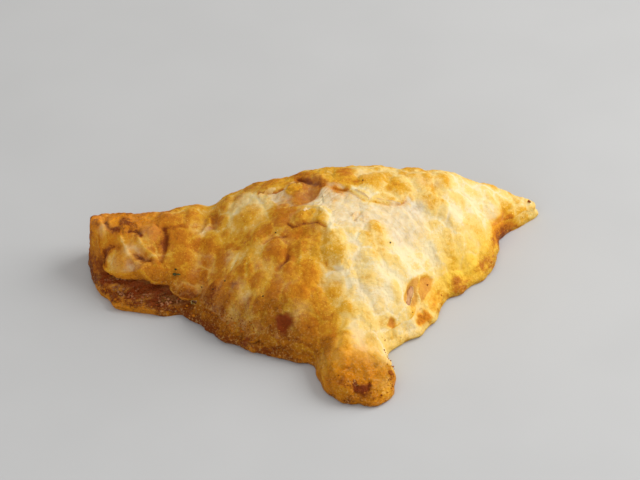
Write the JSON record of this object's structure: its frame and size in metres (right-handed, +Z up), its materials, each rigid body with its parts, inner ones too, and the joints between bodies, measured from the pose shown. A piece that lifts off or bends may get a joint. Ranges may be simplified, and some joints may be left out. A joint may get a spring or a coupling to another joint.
{
  "type": "meat pastry",
  "caption": "Triangular turnover of puff pastry folded over a minced meat filling, baked golden, open at one corner and torn on one side",
  "frame": {"origin": "the middle of the bounding box's underside, on the flat underside of the lower sheet", "axes": "+X along the fold, the long side, from the open left corner to the sealed right corner; +Y from the crimped front tab to the fold; +Z up"},
  "size_m": [0.1411, 0.091, 0.0326],
  "materials": {
    "crust": "baked puff pastry, golden brown, flaky and partly glossy with fat",
    "filling": "cooked minced meat, red-brown and moist"
  },
  "bodies": {
    "root": {"pastry": "crust", "filling": "filling"}
  },
  "joints": []
}
